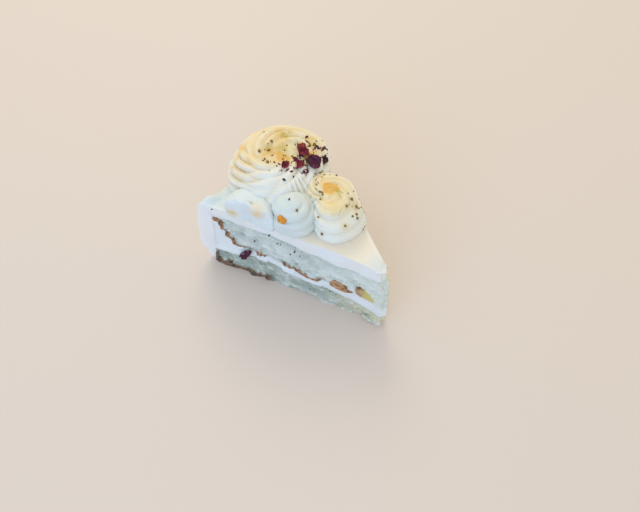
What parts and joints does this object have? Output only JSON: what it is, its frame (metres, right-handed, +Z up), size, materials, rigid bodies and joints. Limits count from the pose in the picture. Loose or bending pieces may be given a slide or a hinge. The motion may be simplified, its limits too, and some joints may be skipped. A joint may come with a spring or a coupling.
{
  "type": "layer cake slice",
  "caption": "Wedge of milk-soaked layer cake in whipped cream, with piped saffron rosettes, rose petals and nuts on top.",
  "frame": {"origin": "centre of the slice's box, on the face it stands on", "axes": "+Z up; +Y from the pointed end towards the round outer wall; -X towards the cut face with the filling pieces"},
  "size_m": [0.078, 0.108, 0.0841],
  "materials": {
    "sponge": "matt, open crumb, damp with milk",
    "cream": "soft satin whipped cream",
    "saffron_cream": "soft satin whipped cream with saffron yellow in the grooves",
    "petal": "dry, thin and wrinkled",
    "soaked_piece": "moist and slightly glossy",
    "nut": "toasted, satin"
  },
  "bodies": {
    "root": {"lower_sponge": "sponge", "upper_sponge": "sponge", "cream_filling": "cream", "cream_coat": "cream", "rosette_rim": "saffron_cream", "rosette_inner": "saffron_cream", "rosette_cut_outer": "saffron_cream", "rosette_cut_inner": "saffron_cream", "petal_large": "petal", "petal_purple": "petal", "petal_pink": "petal", "petal_red": "petal", "petal_edge": "petal", "filling_piece_long": "soaked_piece", "filling_piece_tip": "soaked_piece", "petal_in_filling": "petal", "nut_piece": "nut"}
  },
  "joints": []
}
